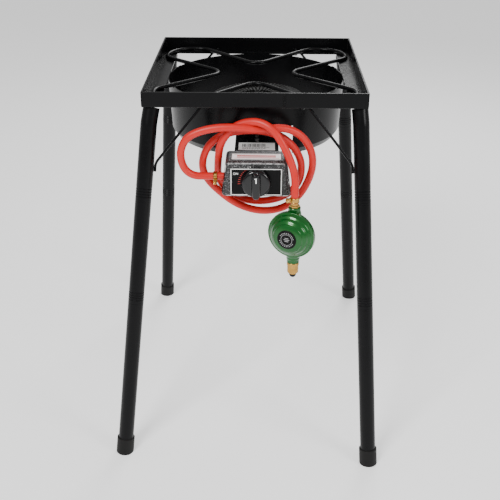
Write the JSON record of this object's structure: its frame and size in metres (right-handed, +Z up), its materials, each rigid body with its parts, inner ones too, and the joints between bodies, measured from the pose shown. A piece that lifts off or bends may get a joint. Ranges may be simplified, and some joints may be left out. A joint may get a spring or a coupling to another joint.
{
  "type": "turkey fryer burner stand",
  "caption": "Outdoor propane burner stand: square frame with star pot rest, wind guard, ring burner, gas valve box, red hose with regulator, and splayed sectional legs.",
  "frame": {"origin": "on the floor under the middle of the cooking frame", "axes": "+Z up, -Y towards the control box at the front, +X to the right seen from the front"},
  "size_m": [0.547, 0.6858, 0.722],
  "materials": {
    "black_paint": "satin black stove paint",
    "cast_iron": "rough black cast iron",
    "black_rubber": "matt moulded rubber",
    "hammered_paint": "grey and black hammered paint",
    "knob_plastic": "black phenolic",
    "black_plate": "printed black plate",
    "white_label": "plain white sticker",
    "red_rubber": "smooth red gas hose",
    "green_paint": "glossy metallic green",
    "brass": "turned brass",
    "zinc_steel": "bright zinc plate"
  },
  "bodies": {
    "root": {"bracket_label": "white_label", "bracket_screws": "zinc_steel", "burner_bolts": "zinc_steel", "burner_casting": "cast_iron", "control_housing": "hammered_paint", "dial_plate": "black_plate", "front_rail": "black_paint", "front_support_bar": "black_paint", "gas_jet": "brass", "gas_valve": "brass", "hose": "red_rubber", "housing_back_cover": "hammered_paint", "housing_label": "white_label", "inlet_hose_clamp": "brass", "inlet_hose_tail": "brass", "inlet_nose": "black_rubber", "inlet_stem": "brass", "knob_spring": "zinc_steel", "left_rail": "black_paint", "pot_rest": "black_paint", "rear_rail": "black_paint", "rear_support_bar": "black_paint", "regulator_badge": "black_plate", "regulator_body": "green_paint", "regulator_cover": "green_paint", "regulator_diaphragm": "black_rubber", "regulator_hose_clamp": "brass", "regulator_outlet_tail": "brass", "right_rail": "black_paint", "stay_back_left": "black_paint", "stay_back_right": "black_paint", "stay_bolts": "zinc_steel", "stay_front_left": "black_paint", "stay_front_right": "black_paint", "upper_leg_back_left": "black_paint", "upper_leg_back_right": "black_paint", "upper_leg_front_left": "black_paint", "upper_leg_front_right": "black_paint", "valve_bracket": "black_paint", "wind_guard": "black_paint"},
    "valve_push": {"spring_washer": "zinc_steel"},
    "knob": {"valve_spindle": "zinc_steel", "control_knob": "knob_plastic"},
    "air_shutter": {"air_shutter": "zinc_steel"},
    "swivel_nut": {"swivel_nut": "brass"},
    "middle_leg_front_left": {"middle_leg_front_left": "black_paint"},
    "lower_leg_front_left": {"lower_leg_front_left": "black_paint", "foot_cap_front_left": "black_rubber"},
    "middle_leg_front_right": {"middle_leg_front_right": "black_paint"},
    "lower_leg_front_right": {"lower_leg_front_right": "black_paint", "foot_cap_front_right": "black_rubber"},
    "middle_leg_back_left": {"middle_leg_back_left": "black_paint"},
    "lower_leg_back_left": {"lower_leg_back_left": "black_paint", "foot_cap_back_left": "black_rubber"},
    "middle_leg_back_right": {"middle_leg_back_right": "black_paint"},
    "lower_leg_back_right": {"lower_leg_back_right": "black_paint", "foot_cap_back_right": "black_rubber"}
  },
  "joints": [
    {"name": "knob_push", "type": "slide", "parent": "root", "child": "valve_push", "axis": [0, 1, 0], "range_m": [0, 0.003], "stiffness_N_per_m": 500, "springref_m": -0.004, "deforming": ["knob_spring"]},
    {"name": "knob_turn", "type": "hinge", "parent": "valve_push", "child": "knob", "pos_m": [0.0035, -0.235, 0.567], "axis": [0, -1, 0], "range_deg": [0, 210]},
    {"name": "air_shutter_turn", "type": "hinge", "parent": "root", "child": "air_shutter", "pos_m": [0.0035, -0.138, 0.567], "axis": [0, -1, 0], "range_deg": [0, 45]},
    {"name": "swivel_nut_turn", "type": "hinge", "parent": "root", "child": "swivel_nut", "pos_m": [0.073, -0.25, 0.405], "axis": [0, 0, 1], "continuous": true},
    {"name": "middle_leg_front_left_slide", "type": "slide", "parent": "root", "child": "middle_leg_front_left", "axis": [-0.1048, -0.1681, -0.9802], "range_m": [0, 0.045]},
    {"name": "lower_leg_front_left_slide", "type": "slide", "parent": "middle_leg_front_left", "child": "lower_leg_front_left", "axis": [-0.1048, -0.1681, -0.9802], "range_m": [0, 0.045]},
    {"name": "middle_leg_front_right_slide", "type": "slide", "parent": "root", "child": "middle_leg_front_right", "axis": [0.0628, -0.2055, -0.9766], "range_m": [0, 0.045]},
    {"name": "lower_leg_front_right_slide", "type": "slide", "parent": "middle_leg_front_right", "child": "lower_leg_front_right", "axis": [0.0628, -0.2055, -0.9766], "range_m": [0, 0.045]},
    {"name": "middle_leg_back_left_slide", "type": "slide", "parent": "root", "child": "middle_leg_back_left", "axis": [-0.0735, 0.2019, -0.9766], "range_m": [0, 0.045]},
    {"name": "lower_leg_back_left_slide", "type": "slide", "parent": "middle_leg_back_left", "child": "lower_leg_back_left", "axis": [-0.0735, 0.2019, -0.9766], "range_m": [0, 0.045]},
    {"name": "middle_leg_back_right_slide", "type": "slide", "parent": "root", "child": "middle_leg_back_right", "axis": [0.0908, 0.1947, -0.9766], "range_m": [0, 0.045]},
    {"name": "lower_leg_back_right_slide", "type": "slide", "parent": "middle_leg_back_right", "child": "lower_leg_back_right", "axis": [0.0908, 0.1947, -0.9766], "range_m": [0, 0.045]}
  ]
}
